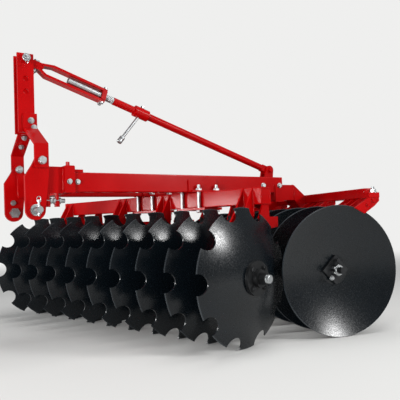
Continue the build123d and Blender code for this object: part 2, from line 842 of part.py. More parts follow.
# Fork: an eye and tongue on the mast's upper pin, and two bent bars bolted on the tongue
with BuildPart() as tongue:
    with BuildSketch(brace_side):
        with Locations((brace_reach - tongue_length / 2, 0)):
            Rectangle(tongue_length, fork_bar_thickness)
        with Locations((brace_reach, 0)):
            Circle(fork_eye_radius)
            Circle(upper_pin_radius + pivot_play, mode=Mode.SUBTRACT)
    extrude(amount=mast_half_gap - side_play, both=True)
save(tongue, "fork_tongue")

with BuildPart() as fork:
    half = fork_bar_thickness / 2
    spread = block_height / 2 - half
    rear = block_at - block_thickness / 2
    for way, bend_run in ((1, fork_bend_upper_run), (-1, fork_bend_lower_run)):
        bend = fork_join - bend_run
        wide = way * spread
        narrow = way * fork_bar_thickness
        with BuildSketch(brace_side):
            with BuildLine():
                Polyline(
                    (rear, wide - half),
                    (bend, wide - half),
                    (fork_join, narrow - half),
                    (fork_front, narrow - half),
                    (fork_front, narrow + half),
                    (fork_join, narrow + half),
                    (bend, wide + half),
                    (rear, wide + half),
                    close=True,
                )
            make_face()
        extrude(amount=fork_bar_width / 2, both=True)
save(fork, "fork_bars")

with BuildPart() as nut_block:
    with BuildSketch(brace_line.offset(block_at)):
        Rectangle(block_width, block_height - 2 * fork_bar_thickness)
        Circle(block_hole_radius, mode=Mode.SUBTRACT)
    extrude(amount=block_thickness / 2, both=True)
save(nut_block, "nut_block")

# Spindle, tube and eye of the brace
with BuildPart() as screw:
    with BuildSketch(brace_line.offset(block_at - brace_tube_gap)):
        Circle(screw_radius)
    extrude(amount=brace_tube_gap + screw_front)
    with BuildSketch(brace_line.offset(block_at - screw_thick_back)):
        Circle(screw_thick_radius)
    extrude(amount=screw_thick_back + screw_front)
save(screw, "brace_screw")

with BuildPart() as tube:
    with BuildSketch(brace_line.offset(brace_shank_length)):
        Circle(brace_tube_radius)
    extrude(amount=block_at - brace_tube_gap - brace_shank_length)
    with BuildSketch(brace_line):
        Rectangle(brace_eye_width, 2 * brace_tube_radius)
    extrude(amount=brace_shank_length)
    with BuildSketch(side_plane(hitch_centre_y)):
        with Locations((brace_pin_x, brace_pin_z)):
            Circle(brace_eye_radius)
    extrude(amount=brace_eye_width / 2, both=True)
    with BuildSketch(side_plane(hitch_centre_y)):
        with Locations((brace_pin_x, brace_pin_z)):
            Circle(brace_pin_radius + brace_pin_play)
    extrude(amount=brace_eye_width, both=True, mode=Mode.SUBTRACT)
save(tube, "brace_tube")

# Crank: a collar on the tube with a round handle down and forward, and a knob
with BuildPart() as crank:
    with BuildSketch(brace_line.offset(block_at - collar_from_block)):
        Circle(collar_radius)
    extrude(amount=collar_length)
    root_at = block_at - collar_from_block + collar_length / 2
    root_x = brace_pin_x + root_at * cos(brace_slope)
    root_z = deck + brace_pin_z + root_at * sin(brace_slope)
    reach = hypot(handle_run, handle_drop)
    handle_line = Plane(
        origin=(root_x, hitch_centre_y, root_z),
        x_dir=(0, 1, 0),
        z_dir=(handle_run, 0, -handle_drop),
    )
    with BuildSketch(handle_line):
        Circle(handle_radius)
    extrude(amount=reach)
    with BuildSketch(handle_line.offset(reach)):
        Circle(handle_knob_radius)
    extrude(amount=handle_knob_length)
    with BuildSketch(brace_line.offset(block_at - collar_from_block)):
        Circle(brace_tube_radius)
    extrude(amount=collar_length, mode=Mode.SUBTRACT)
save(crank, "brace_crank")
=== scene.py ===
import json
import math

import bpy
import numpy as np
from mathutils import Matrix, Vector


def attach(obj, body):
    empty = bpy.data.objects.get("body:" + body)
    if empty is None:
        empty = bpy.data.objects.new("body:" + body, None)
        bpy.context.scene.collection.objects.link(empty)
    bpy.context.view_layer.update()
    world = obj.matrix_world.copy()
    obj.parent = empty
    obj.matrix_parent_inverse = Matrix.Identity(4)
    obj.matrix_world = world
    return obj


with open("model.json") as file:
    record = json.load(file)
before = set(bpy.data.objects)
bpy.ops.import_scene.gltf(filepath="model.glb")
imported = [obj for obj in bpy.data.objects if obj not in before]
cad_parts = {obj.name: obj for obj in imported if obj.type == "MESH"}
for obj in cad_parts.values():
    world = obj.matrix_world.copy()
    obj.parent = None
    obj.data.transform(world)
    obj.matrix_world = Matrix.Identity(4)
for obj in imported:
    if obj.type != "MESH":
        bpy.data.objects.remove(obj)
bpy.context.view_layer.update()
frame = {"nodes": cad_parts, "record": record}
nodes = frame["nodes"]
slot_of = {part["node"]: part["material_slot"] for part in frame["record"]["subparts"]}


# Camera: the photograph was taken from the machine's front left corner, at the height of a
# crouching person, slightly upward and a little out of level.
eye = Vector((1.557, 2.520, 0.550))
heading = math.radians(237.0)
pitch = math.radians(1.96)
lean = math.radians(1.96)
sensor = 36.0
focal_pixels = 515.0
image_pixels = 400.0

forward = Vector((
    math.cos(pitch) * math.cos(heading),
    math.cos(pitch) * math.sin(heading),
    math.sin(pitch),
))
level_right = Vector((math.sin(heading), -math.cos(heading), 0.0))
level_up = level_right.cross(forward)
right = level_right * math.cos(lean) - level_up * math.sin(lean)
up = level_right * math.sin(lean) + level_up * math.cos(lean)
camera_data = bpy.data.cameras.new("camera")
camera_data.sensor_width = sensor
camera_data.lens = sensor * focal_pixels / image_pixels
camera_data.shift_y = 0.012
camera_data.clip_end = 60.0
camera = bpy.data.objects.new("camera", camera_data)
camera.matrix_world = Matrix((
    (right.x, up.x, -forward.x, eye.x),
    (right.y, up.y, -forward.y, eye.y),
    (right.z, up.z, -forward.z, eye.z),
    (0.0, 0.0, 0.0, 1.0),
))
bpy.context.scene.collection.objects.link(camera)
bpy.context.scene.camera = camera


# Floor and light: a pale studio floor that runs into a pale background, under a large soft
# overhead lamp. A low key lamp stands ahead of the machine's left corner, a wide one ahead of
# its right corner lights the gang beam's front, and one at its left gives the discs' sheens.
def linear(code):
    """Linear RGBA of an sRGB hex colour: each channel is divided by 12.92 near black, and
    otherwise shifted, scaled and raised to the power 2.4."""
    channels = np.array([int(code[i:i + 2], 16) for i in (1, 3, 5)]) / 255.0
    low = channels / 12.92
    high = ((channels + 0.055) / 1.055) ** 2.4
    return (*np.where(channels <= 0.04045, low, high), 1.0)


def add(tree, kind, settings=None, **inputs):
    """Adds one node. settings go on the node, and each input takes a value or an output
    socket. An input is named with _ for a space, or as i_N for the Nth."""
    made = tree.nodes.new(kind)
    for name, value in (settings or {}).items():
        setattr(made, name, value)
    for name, value in inputs.items():
        key = int(name[2:]) if name.startswith("i_") else name.replace("_", " ")
        if isinstance(value, bpy.types.NodeSocket):
            tree.links.new(value, made.inputs[key])
        else:
            made.inputs[key].default_value = value
    return made


def new_material(name):
    """An empty node material, its tree and its output node."""
    material = bpy.data.materials.new(name)
    material.use_nodes = True
    material.node_tree.nodes.clear()
    out = material.node_tree.nodes.new("ShaderNodeOutputMaterial")
    return material, material.node_tree, out


def put_mesh(name, points, faces, material, smooth=False):
    """A mesh object at the origin from an array of points and a list of faces."""
    mesh = bpy.data.meshes.new(name)
    mesh.from_pydata(np.asarray(points, float).tolist(), [], [list(map(int, f)) for f in faces])
    mesh.materials.append(material)
    mesh.polygons.foreach_set("use_smooth", [smooth] * len(mesh.polygons))
    mesh.update()
    made = bpy.data.objects.new(name, mesh)
    bpy.context.scene.collection.objects.link(made)
    return made


backdrop = linear("#EFEFEE")
floor_reach = 30.0

floor_paint, tree, out = new_material("pale_studio_floor")
place = add(tree, "ShaderNodeTexCoord")
away = add(tree, "ShaderNodeVectorMath", {"operation": "LENGTH"}, i_0=place.outputs["Object"])
fade = add(
    tree, "ShaderNodeMapRange", {"interpolation_type": "SMOOTHSTEP"}, Value=away.outputs["Value"],
    From_Min=2.2, From_Max=6.5,
)
seen = add(tree, "ShaderNodeLightPath")
far = add(
    tree, "ShaderNodeMath", {"operation": "MULTIPLY"}, i_0=fade.outputs[0],
    i_1=seen.outputs["Is Camera Ray"],
)
paint = add(tree, "ShaderNodeBsdfPrincipled", Base_Color=linear("#D0D0CE"), Roughness=0.8)
glow = add(tree, "ShaderNodeEmission", Color=backdrop, Strength=1.0)
mixed = add(
    tree, "ShaderNodeMixShader", i_0=far.outputs[0], i_1=paint.outputs[0], i_2=glow.outputs[0],
)
tree.links.new(mixed.outputs[0], out.inputs[0])
floor_corners = [
    (-floor_reach, -floor_reach, 0), (floor_reach, -floor_reach, 0),
    (floor_reach, floor_reach, 0), (-floor_reach, floor_reach, 0),
]
floor = put_mesh("floor", floor_corners, [(0, 1, 2, 3)], floor_paint)

world = bpy.data.worlds.new("studio")
world.use_nodes = True
tree = world.node_tree
tree.nodes.clear()
out = tree.nodes.new("ShaderNodeOutputWorld")
seen = add(tree, "ShaderNodeLightPath")
level = add(
    tree, "ShaderNodeMapRange", Value=seen.outputs["Is Glossy Ray"], To_Min=0.32, To_Max=0.24,
)
lit = add(
    tree, "ShaderNodeBackground", Color=linear("#F4F5F7"), Strength=level.outputs[0],
)
shown = add(tree, "ShaderNodeBackground", Color=backdrop, Strength=1.0)
mixed = add(
    tree, "ShaderNodeMixShader", i_0=seen.outputs["Is Camera Ray"], i_1=lit.outputs[0],
    i_2=shown.outputs[0],
)
tree.links.new(mixed.outputs[0], out.inputs[0])
bpy.context.scene.world = world
for name, spot, aim, width, height, power in (
    ("overhead_lamp", (-0.2, 0.9, 4.2), (0.0, 0.0, 0.3), 2.6, 2.6, 105.0),
    ("key_lamp", (4.2, 2.3, 0.8), (0.1, 0.2, 0.5), 1.1, 1.1, 150.0),
    ("front_lamp", (3.9, -1.4, 0.7), (0.1, 0.2, 0.6), 1.8, 0.5, 70.0),
    ("side_lamp", (-2.3, 4.4, 2.15), (0.1, 0.3, 0.4), 0.8, 0.95, 145.0),
):
    lamp_data = bpy.data.lights.new(name, "AREA")
    lamp_data.shape = "RECTANGLE"
    lamp_data.size = width
    lamp_data.size_y = height
    lamp_data.energy = power
    lamp = bpy.data.objects.new(name, lamp_data)
    lamp.location = spot
    lamp.rotation_euler = (Vector(aim) - Vector(spot)).to_track_quat("-Z", "Y").to_euler()
    bpy.context.scene.collection.objects.link(lamp)
bpy.context.scene.view_settings.view_transform = "Standard"


# Frame, headstock, mast and brace: tubes and cut plates of structural steel, sprayed after
# welding with a deep gloss machine enamel. It shows a fine orange peel and an uneven gloss.
# The tone drifts over some 140 mm. Orange peel is about 2 mm across, and is drawn at 4 mm so
# that it shows.
enamel, tree, out = new_material("red_machine_enamel")
place = add(tree, "ShaderNodeTexCoord")
cloud = add(tree, "ShaderNodeTexNoise", Vector=place.outputs["Object"], Scale=7.0, Detail=5.0)
tint = add(
    tree, "ShaderNodeMix", {"data_type": "RGBA"}, i_0=cloud.outputs["Fac"],
    i_6=linear("#900103"), i_7=linear("#AC0406"),
)
peel = add(tree, "ShaderNodeTexNoise", Vector=place.outputs["Object"], Scale=240.0, Detail=2.0)
bump = add(tree, "ShaderNodeBump", Height=peel.outputs["Fac"], Strength=0.05, Distance=0.002)
gloss = add(tree, "ShaderNodeMapRange", Value=cloud.outputs["Fac"], To_Min=0.15, To_Max=0.24)
shader = add(
    tree, "ShaderNodeBsdfPrincipled", Base_Color=tint.outputs[2], Roughness=gloss.outputs[0],
    Specular_IOR_Level=0.16, Normal=bump.outputs[0],
)
tree.links.new(shader.outputs[0], out.inputs[0])
for node, slot in slot_of.items():
    if slot == "red_paint":
        nodes[node].material_slots[0].material = enamel


# Weld beads of the frame: laid by hand where the beams, boxes, plates and lugs meet, and
# painted over with the same enamel.
def square_axes(axis):
    """Two unit vectors square to an axis and to each other, in right-handed order."""
    axis = np.asarray(axis, float) / np.linalg.norm(axis)
    guide = np.array((0.0, 0.0, 1.0)) if abs(axis[2]) < 0.9 else np.array((1.0, 0.0, 0.0))
    first = np.cross(guide, axis)
    first /= np.linalg.norm(first)
    return first, np.cross(axis, first)


def ring_faces(rows, columns, closed):
    """Four-sided faces of a grid whose columns meet round each ring. The rows meet too where
    closed is true, and otherwise the first and the last ring are capped."""
    last = rows if closed else rows - 1
    row, column = np.meshgrid(np.arange(last), np.arange(columns), indexing="ij")
    low = row * columns + column
    low_next = row * columns + (column + 1) % columns
    high = (row + 1) % rows * columns + column
    high_next = (row + 1) % rows * columns + (column + 1) % columns
    faces = np.stack((low, low_next, high_next, high), axis=-1).reshape(-1, 4).tolist()
    if not closed:
        faces.append(list(range(columns))[::-1])
        faces.append(list(range((rows - 1) * columns, rows * columns)))
    return faces


def gather(pieces):
    """One mesh from several: the points are stacked, and each piece's faces count on."""
    points = np.vstack([piece[0] for piece in pieces])
    counts = np.cumsum([0] + [len(piece[0]) for piece in pieces])
    faces = [
        [i + start for i in face] for piece, start in zip(pieces, counts) for face in piece[1]
    ]
    return points, faces


def bead(start, end, radius=0.0035, ripple=0.005, end_run=0.004):
    """A weld bead between two points: a bar whose radius swells and falls as the absolute sine
    of the distance along it, one hump for each ripple of the weld, and tapers over its ends."""
    start, end = np.asarray(start, float), np.asarray(end, float)
    length = np.linalg.norm(end - start)
    share = np.linspace(0.0, 1.0, max(6, int(length / ripple * 3)))
    humps = 0.82 + 0.25 * np.abs(np.sin(share * length / ripple * np.pi))
    taper = np.clip(np.minimum(share, 1.0 - share) * length / end_run, 0.35, 1.0)
    along = (end - start) / length
    first, second = square_axes(along)
    angle = np.linspace(0.0, 2.0 * np.pi, 7, endpoint=False)
    centre = start + share[:, None] * (end - start)
    size = (radius * humps * taper)[:, None, None]
    rings = centre[:, None, :] + size * (
        np.cos(angle)[None, :, None] * first + np.sin(angle)[None, :, None] * second
    )
    return rings.reshape(-1, 3), ring_faces(len(share), len(angle), False)


# Places of the frame, in metres. The deck is the top of the front gang beam, on which the main
# beams lie, and the faces are their outer sides, from which the side plates and the cross boxes
# stand out. The cheeks' two sides are measured from the hitch's middle.
deck = 0.704
left_face = 0.313
right_face = -0.085
beam_front = 0.781
side_plate_front = -0.381
stand_out = 0.010
headstock_x = 0.827
rear_cross_x = -0.521
hitch_middle = 0.115
cheek_inside = 0.160
cheek_outside = 0.180
cheek_front = 0.935
thin_weld = 0.003
lug_half_gap = 0.0213
lug_half_thickness = 0.006
lug_front, lug_rear, lug_foot = -0.447, -0.515, deck + 0.045
cheek_weld_ends, plate_weld_ends = (0.002, 0.106), (-0.003, 0.110)

# The ends of each weld on a main beam's side, by their x, the distance out from the beam's face
# and the height over the deck: the beam's front end, the side plate's front and top edges, and
# the rear arm's outer and top edges.
side_welds = (
    ((beam_front, 0.0, 0.006), (beam_front, 0.0, 0.082)),
    ((side_plate_front, 0.0, -0.046), (side_plate_front, 0.0, 0.042)),
    ((-0.379, 0.0, 0.044), (-0.437, 0.0, 0.044)),
    ((rear_cross_x, 0.010, -0.040), (rear_cross_x, 0.010, 0.040)),
    ((rear_cross_x + 0.001, -0.065, 0.043), (rear_cross_x + 0.001, 0.006, 0.043)),
)
beads = []
for face, way in ((left_face, 1), (right_face, -1)):
    for ends in side_welds:
        beads.append(bead(*[(x, face + way * out_by, deck + rise) for x, out_by, rise in ends]))

# The brace's lug has a weld along both sides of each plate's foot. Each cheek of the headstock
# has an upright weld on both sides, to the cross box, and one to the hitch plate ahead of it.
for plate_y in (hitch_middle - lug_half_gap, hitch_middle + lug_half_gap):
    for side in (-lug_half_thickness, lug_half_thickness):
        foot = plate_y + side
        beads.append(bead((lug_rear, foot, lug_foot), (lug_front, foot, lug_foot), thin_weld))
for way in (1, -1):
    for aside in (cheek_inside, cheek_outside):
        foot = np.array((headstock_x, hitch_middle + way * aside, deck))
        beads.append(bead(*[foot + (0.0, 0.0, rise) for rise in cheek_weld_ends]))
for way in (1, -1):
    foot = np.array((cheek_front, hitch_middle + way * cheek_outside, deck))
    beads.append(bead(*[foot + (0.0, 0.0, rise) for rise in plate_weld_ends]))
welds = put_mesh("frame_weld_beads", *gather(beads), enamel, smooth=True)
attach(welds, "frame")


# Discs: pressed from boron steel, heat treated and dipped in black paint. The dip leaves a
# satin film over faint turning rings, and the ground cutting edge shows through it.
shaft_height = 0.305
gang_angle = math.radians(14.5)
edge_from, edge_to = 0.2995, 0.3035

# The paint is worn between the two edge radii. sign tells which way a gang is set askew, and
# bulge which way its discs bulge on the shaft.
gangs = {
    "front": {"shaft": np.array((0.392, -0.058, shaft_height)), "sign": 1.0, "bulge": -1.0},
    "rear": {"shaft": np.array((-0.496, 0.061, shaft_height)), "sign": -1.0, "bulge": 1.0},
}
for name, gang in gangs.items():
    gang["along"] = np.array((gang["sign"] * math.sin(gang_angle), -math.cos(gang_angle), 0.0))
    gang["forward"] = np.array((math.cos(gang_angle), gang["sign"] * math.sin(gang_angle), 0.0))
    blade_paint, tree, out = new_material(f"satin_black_dip_{name}")
    place = add(tree, "ShaderNodeTexCoord")
    arm = add(
        tree, "ShaderNodeVectorMath", {"operation": "SUBTRACT"}, i_0=place.outputs["Object"],
        i_1=tuple(gang["shaft"]),
    )
    swung = add(
        tree, "ShaderNodeVectorMath", {"operation": "CROSS_PRODUCT"}, i_0=arm.outputs[0],
        i_1=tuple(gang["along"]),
    )
    radius = add(tree, "ShaderNodeVectorMath", {"operation": "LENGTH"}, i_0=swung.outputs[0])
    # The film clouds over some 170 mm. Turning rings lie 2.4 mm apart, and the grain of the dip,
    # under 1 mm on the real disc, is drawn at 6 mm so that it shows.
    cloud = add(tree, "ShaderNodeTexNoise", Vector=place.outputs["Object"], Scale=6.0, Detail=6.0)
    rings = add(
        tree, "ShaderNodeTexNoise", {"noise_dimensions": "1D"}, W=radius.outputs["Value"],
        Scale=420.0, Detail=2.0,
    )
    grain = add(
        tree, "ShaderNodeTexNoise", Vector=place.outputs["Object"], Scale=170.0, Detail=3.0,
    )
    # The film runs from black to a faint blue black. The black is the dip's own colour, and the
    # faint blue is painted sheen that stands in for the bluish reflection on the discs.
    film = add(
        tree, "ShaderNodeMix", {"data_type": "RGBA"}, i_0=cloud.outputs["Fac"],
        i_6=linear("#04070A"), i_7=linear("#0A1116"),
    )
    edge = add(
        tree, "ShaderNodeMapRange", Value=radius.outputs["Value"], From_Min=edge_from,
        From_Max=edge_to,
    )
    worn = add(
        tree, "ShaderNodeMath", {"operation": "MULTIPLY"}, i_0=edge.outputs[0],
        i_1=cloud.outputs["Fac"],
    )
    tint = add(
        tree, "ShaderNodeMix", {"data_type": "RGBA"}, i_0=worn.outputs[0], i_6=film.outputs[2],
        i_7=linear("#3C4145"),
    )
    low_bump = add(
        tree, "ShaderNodeBump", Height=rings.outputs["Fac"], Strength=0.10, Distance=0.001,
    )
    bump = add(
        tree, "ShaderNodeBump", Height=grain.outputs["Fac"], Strength=0.06, Distance=0.001,
        Normal=low_bump.outputs[0],
    )
    gloss = add(
        tree, "ShaderNodeMapRange", Value=grain.outputs["Fac"], From_Min=0.3, From_Max=0.7,
        To_Min=0.17, To_Max=0.31,
    )
    shader = add(
        tree, "ShaderNodeBsdfPrincipled", Base_Color=tint.outputs[2], Roughness=gloss.outputs[0],
        Specular_IOR_Level=0.36, Normal=bump.outputs[0],
    )
    tree.links.new(shader.outputs[0], out.inputs[0])
    nodes[f"{name}_discs"].material_slots[0].material = blade_paint


# Castings: spools and bearing housings of grey iron, cast in sand and dipped black, so their
# skin stays rough under the paint. Grains of under 1 mm are drawn at 6 mm so that they show.
casting, tree, out = new_material("black_sand_cast_iron")
place = add(tree, "ShaderNodeTexCoord")
sand = add(tree, "ShaderNodeTexNoise", Vector=place.outputs["Object"], Scale=170.0, Detail=4.0)
tint = add(
    tree, "ShaderNodeMix", {"data_type": "RGBA"}, i_0=sand.outputs["Fac"],
    i_6=linear("#141516"), i_7=linear("#2B2D2F"),
)
bump = add(tree, "ShaderNodeBump", Height=sand.outputs["Fac"], Strength=0.5, Distance=0.002)
shader = add(
    tree, "ShaderNodeBsdfPrincipled", Base_Color=tint.outputs[2], Roughness=0.58,
    Normal=bump.outputs[0],
)
tree.links.new(shader.outputs[0], out.inputs[0])


# Shafts, their flanges and nuts: square and round bar of bare steel, machined, oiled and
# dulled by the film of oil, which lies in smears some 18 mm across.
oiled, tree, out = new_material("oiled_machined_steel")
place = add(tree, "ShaderNodeTexCoord")
film = add(tree, "ShaderNodeTexNoise", Vector=place.outputs["Object"], Scale=55.0, Detail=4.0)
tint = add(
    tree, "ShaderNodeMix", {"data_type": "RGBA"}, i_0=film.outputs["Fac"],
    i_6=linear("#1C1D1F"), i_7=linear("#3A3B3C"),
)
gloss = add(tree, "ShaderNodeMapRange", Value=film.outputs["Fac"], To_Min=0.32, To_Max=0.5)
shader = add(
    tree, "ShaderNodeBsdfPrincipled", Base_Color=tint.outputs[2], Roughness=gloss.outputs[0],
    Metallic=0.85,
)
tree.links.new(shader.outputs[0], out.inputs[0])


# Pins, bolts and the brace screw: turned steel with bright zinc plate, slightly blue, whose
# fine tool marks scatter the light. The plate's sheen changes over some 10 mm.
zinc, tree, out = new_material("bright_zinc_plate")
place = add(tree, "ShaderNodeTexCoord")
marks = add(tree, "ShaderNodeTexNoise", Vector=place.outputs["Object"], Scale=95.0, Detail=3.0)
tint = add(
    tree, "ShaderNodeMix", {"data_type": "RGBA"}, i_0=marks.outputs["Fac"],
    i_6=linear("#8F9396"), i_7=linear("#C2C4C4"),
)
gloss = add(tree, "ShaderNodeMapRange", Value=marks.outputs["Fac"], To_Min=0.28, To_Max=0.48)
shader = add(
    tree, "ShaderNodeBsdfPrincipled", Base_Color=tint.outputs[2], Roughness=gloss.outputs[0],
    Metallic=1.0,
)
tree.links.new(shader.outputs[0], out.inputs[0])
for node, slot in slot_of.items():
    bare = {"black_cast_iron": casting, "dark_steel": oiled, "zinc_plated_steel": zinc}.get(slot)
    if bare:
        nodes[node].material_slots[0].material = bare


# Frame bolts: plated hexagon heads on round washers, through the sides of the main beams, at
# the front cross box, and in the clamps, where long bolts run down beside the gang beam.
def turned(base, axis, profile, sides=24):
    """A piece turned about an axis from profile rows of distance and radius, with half the
    width across flats as a third value where the row is a hexagon. A point's radius is the
    smaller of the row's radius and the flat's distance over the cosine of the angle from the
    middle of its 60 degree side."""
    first, second = square_axes(axis)
    axis = np.asarray(axis, float) / np.linalg.norm(axis)
    profile = np.array([(*row, np.inf)[:3] for row in profile])
    angle = np.linspace(0.0, 2.0 * np.pi, sides, endpoint=False)
    turn = np.mod(angle + np.pi / 6.0, np.pi / 3.0) - np.pi / 6.0
    flat = profile[:, 2:3] / np.cos(turn)[None, :]
    size = np.minimum(profile[:, 1:2], flat)
    rings = (
        np.asarray(base, float)
        + profile[:, 0][:, None, None] * axis
        + size[:, :, None] * (
            np.cos(angle)[None, :, None] * first + np.sin(angle)[None, :, None] * second
        )
    )
    return rings.reshape(-1, 3), ring_faces(len(profile), sides, False)


def hex_head(base, axis, flat=0.012, height=0.010, washer=0.017, stud=0.0):
    """A washer, a hexagon head with its corners turned off, and where stud is above 0 a screw
    end that stands out of it as out of a nut. flat is half the width across flats."""
    thick = 0.003
    top = thick + height
    corner = flat * 1.16
    rows = [
        (-0.001, washer), (thick - 0.0006, washer), (thick, washer - 0.0006),
        (thick, corner, flat), (top - 0.0022, corner, flat), (top, flat * 0.95, flat),
    ]
    if stud:
        screw = flat * 0.58
        rows += [(top, screw), (top + stud - 0.001, screw), (top + stud, screw - 0.001)]
    return turned(base, axis, rows)


def on_gang(gang, station, ahead, height):
    """A point by its place on a gang: the shaft's middle plus station times the direction along
    the shaft plus ahead times the level direction square to it, at a height over the floor."""
    spot = gang["shaft"] + station * gang["along"] + ahead * gang["forward"]
    return np.array((spot[0], spot[1], height))


# A gang beam: the gaps between discs that hold its bearings, the distances of its ends from the
# first disc's rim, its setback behind the shaft, its width, and the heights of its underside
# and its top.
beams = {
    "front": {
        "gaps": (0, 3, 5, 8), "start": 0.004, "end": 1.600, "back": 0.190, "width": 0.080,
        "low": 0.624, "high": 0.704,
    },
    "rear": {
        "gaps": (0, 2, 6, 8), "start": 0.040, "end": 1.640, "back": 0.200, "width": 0.060,
        "low": 0.640, "high": 0.688,
    },
}
beam_bolt = {"flat": 0.0100, "height": 0.009, "washer": 0.0145}
box_bolt = {"flat": 0.0085, "height": 0.008, "washer": 0.0120}
beam_bolt_rise, box_bolt_rise, box_stud = 0.040, 0.045, 0.008

# Each side bolt's place along the machine, its height over the deck and its size. Where a side
# plate or the cross box covers the beam, the head stands out with it.
side_bolts = (
    (-0.300, beam_bolt_rise, beam_bolt), (-0.410, beam_bolt_rise, beam_bolt),
    (0.766, box_bolt_rise, box_bolt), (0.806, box_bolt_rise, box_bolt),
)
heads = []
for x, rise, size in side_bolts:
    proud = 0.0 if side_plate_front < x < beam_front else stand_out
    for face, way in ((left_face, 1), (right_face, -1)):
        heads.append(hex_head((x, face + way * proud, deck + rise), (0, way, 0), **size))
for aside in (0.120, 0.050, -0.050, -0.120):
    spot = (headstock_x, hitch_middle + aside, deck + box_bolt_rise)
    heads.append(hex_head(spot, (1, 0, 0), stud=box_stud))

# A clamp's long bolt has its head below, a plain shank, and a nut with a screw end above. Four
# stand round each place where a main beam's middle crosses the front gang beam.
clamp_low, clamp_high, clamp_head = 0.601, 0.723, 0.0115
clamp_flat, clamp_corner, clamp_shank, clamp_screw = 0.0142, 0.018, 0.0094, 0.0088
clamp_bolt = (
    (clamp_low, 0.0140, 0.0140), (clamp_low + 0.002, clamp_corner, clamp_flat),
    (clamp_low + clamp_head, clamp_corner, clamp_flat), (clamp_low + clamp_head, clamp_shank),
    (clamp_high - clamp_head, clamp_shank), (clamp_high - clamp_head, clamp_corner, clamp_flat),
    (clamp_high - 0.002, clamp_corner, clamp_flat), (clamp_high, 0.0135, 0.0140),
    (clamp_high, clamp_screw), (clamp_high + 0.016, clamp_screw), (clamp_high + 0.018, 0.0074),
)
bolt_aside, bolt_step = 0.057, 0.052
crossings = ((0.283, 0.1076), (-0.055, 0.1949))
front = gangs["front"]
for main_y, crossing_x in crossings:
    station = (
        (crossing_x - front["shaft"][0]) * front["along"][0]
        + (main_y - front["shaft"][1]) * front["along"][1]
    )
    for aside in (-bolt_aside, bolt_aside):
        for step in (-bolt_step, bolt_step):
            shift = (aside - step * front["forward"][1]) / front["along"][1]
            foot = on_gang(front, station + shift, step - beams["front"]["back"], 0.0)
            heads.append(turned(foot, (0, 0, 1), clamp_bolt))
frame_bolts = put_mesh("frame_bolts", *gather(heads), zinc)
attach(frame_bolts, "frame")


# Transport stop: a short stud of round bar, welded upright on the headstock's box over its left
# end and painted with it.
stop_foot = (0.806, 0.300, deck + 0.115)
stop = turned(stop_foot, (0, 0, 1), ((0.0, 0.0085), (0.017, 0.0085), (0.019, 0.0065)))
transport_stop = put_mesh("transport_stop", *stop, enamel)
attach(transport_stop, "frame")


# Hanger bolts and weld beads: two bolts clamp each bearing's foot between its hanger plates,
# and the plates are welded to the gang beam. The tubes' ends are closed and welded round.
def swept(path, radii, sides=8, closed=False):
    """A round bar along a path. The guide is the direction in which the path spreads least.
    Each ring's first direction is square to the guide and to the path, and its second to both
    the first and the path. A point of the ring is the path's point plus the radius times the
    cosine and the sine of its angle along the two."""
    path = np.asarray(path, float)
    if closed:
        along = np.roll(path, -1, axis=0) - np.roll(path, 1, axis=0)
    else:
        along = np.gradient(path, axis=0)
    along /= np.linalg.norm(along, axis=1)[:, None]
    spread = path - path.mean(axis=0)
    guide = np.linalg.svd(spread)[2][2]
    first = np.cross(np.broadcast_to(guide, along.shape), along)
    first /= np.linalg.norm(first, axis=1)[:, None]
    second = np.cross(along, first)
    angle = np.linspace(0.0, 2.0 * np.pi, sides, endpoint=False)
    radii = np.broadcast_to(np.asarray(radii, float), (len(path),))
    rings = path[:, None, :] + radii[:, None, None] * (
        np.cos(angle)[None, :, None] * first[:, None, :]
        + np.sin(angle)[None, :, None] * second[:, None, :]
    )
    return rings.reshape(-1, 3), ring_faces(len(path), sides, closed)


